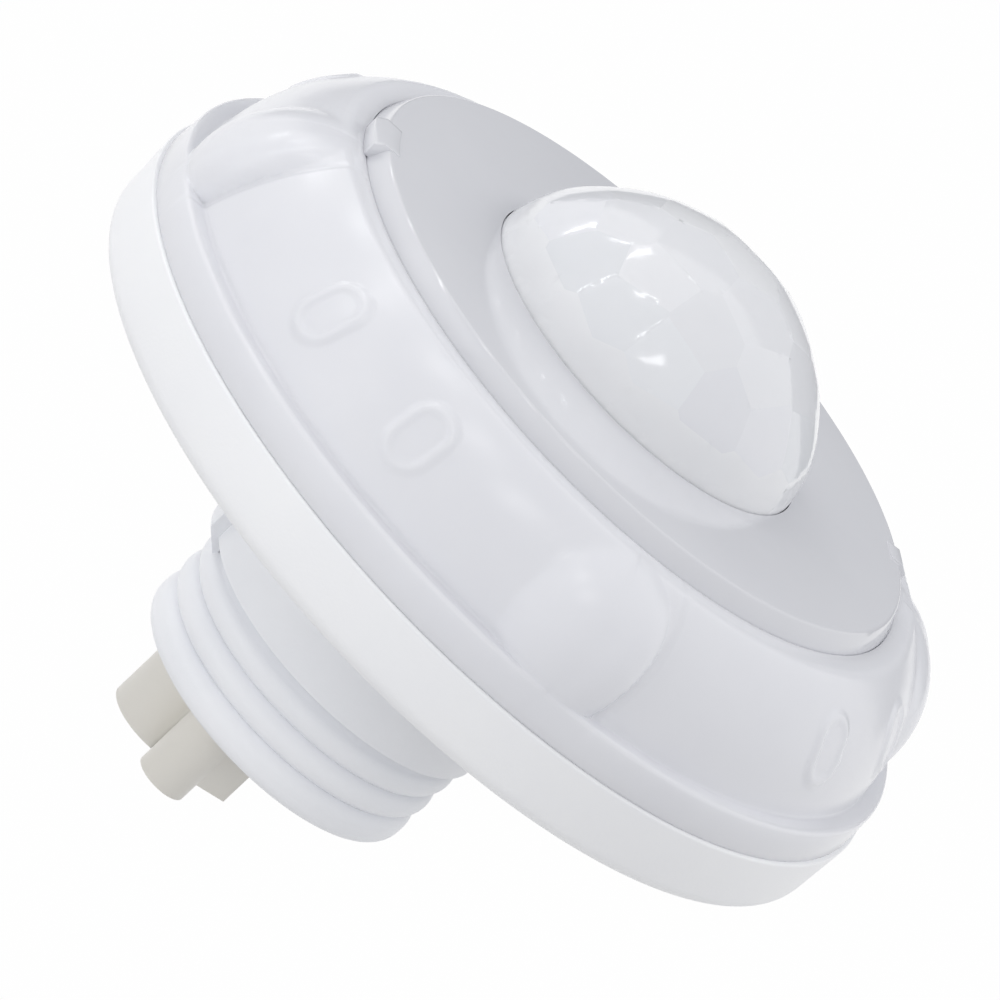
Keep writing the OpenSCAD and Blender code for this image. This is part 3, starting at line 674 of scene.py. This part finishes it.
def metal(name, colour, roughness, streak_mm):
    """Plated metal with streaks that vary the gloss, drawn coarser than the real ones."""
    material, tree = new_material(name)
    place = add_node(tree, "ShaderNodeTexCoord").outputs["Object"]
    streaks = add_node(tree, "ShaderNodeTexNoise", {
        "Vector": place, "Scale": 1000 / streak_mm, "Detail": 3.0
    })
    gloss = add_node(tree, "ShaderNodeMapRange", {
        "Value": streaks.outputs["Fac"], "To Min": roughness * gloss_low,
        "To Max": roughness * gloss_high
    })
    shader = add_node(tree, "ShaderNodeBsdfPrincipled", {
        "Base Color": linear(colour), "Metallic": 1.0, "Roughness": gloss.outputs[0]
    })
    add_node(tree, "ShaderNodeOutputMaterial", {"Surface": shader.outputs[0]})
    return material


inner_finishes = [
    # Zinc plate: a bright, slightly blue metal grey.
    (metal("zinc_plated_steel", "C9CACC", 0.3, 0.4), ["neck_screws", "board_screws"]),
    # Tin plate: a paler and duller metal than zinc.
    (metal("tin_plate", "D2D2D0", 0.35, 0.3), ["controller_leads", "sensor_can"]),
    # Plated brass: a pale yellow shine.
    (metal("plated_brass", "D9C48A", 0.25, 0.3),
     ["sensor_pins", "plug_contacts", "board_standoffs"]),
    # Black rubber: dead matt, near black.
    (moulding("black_rubber", "26262A", "2E2E33", 0.7, 0.3, 0.3), ["cover_seal"]),
    # White ABS as moulded: plain white with a dull sheen.
    (moulding("white_abs", "EDEDEE", "E6E6E8", 0.45, 0.4, 0.1),
     ["lens_retainer", "sensor_spacer"]),
    # Pale solder mask: a smooth bluish white coat.
    (moulding("pale_solder_mask", "DCE3EC", "D3DCE8", 0.3, 0.5, 0.1),
     ["sensor_board", "power_board"]),
    # Coated silicon: a dark, mirror-like window.
    (moulding("coated_silicon", "1C1B20", "232228", 0.1, 0.6, 0.02), ["sensor_window"]),
    # Cast amber resin: a warm brown gloss.
    (moulding("amber_resin", "B98A4A", "A87A3C", 0.2, 0.5, 0.05), ["photocell"]),
    # Cast red resin: a clear red gloss.
    (moulding("red_resin", "C8352B", "B92C24", 0.15, 0.6, 0.02), ["indicator_lamp"]),
    # Moulded chip epoxy: a fine, matt charcoal.
    (moulding("chip_epoxy", "26272A", "2D2E32", 0.6, 0.2, 0.3),
     ["controller_chip", "chip_resistors"]),
    # Fired ceramic: a dry sandy brown.
    (moulding("fired_ceramic", "B59A78", "A98D6A", 0.5, 0.2, 0.2), ["chip_capacitors"]),
    # Blue moulded polyester: an even blue with a soft gloss.
    (moulding("blue_polyester", "3D63A8", "375B9C", 0.35, 0.4, 0.1), ["relay"]),
    # Shrunk PVC sleeve: a dark blue-grey skin with a soft gloss.
    (moulding("shrunk_pvc_sleeve", "2A2E3C", "323748", 0.35, 0.6, 0.1), ["storage_capacitors"]),
    # Lacquered copper winding: a dark copper brown with a grained gloss.
    (moulding("lacquered_winding", "9A5A30", "8A4C26", 0.3, 0.3, 0.4), ["choke"]),
    # PVC insulation: a soft red with a dull gloss.
    (moulding("pvc_insulation", "B8372E", "AC3028", 0.4, 0.4, 0.1), ["lead_wires"]),
]
for finish, members in inner_finishes:
    for member in members:
        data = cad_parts[member].data
        data.materials.clear()
        data.materials.append(finish)
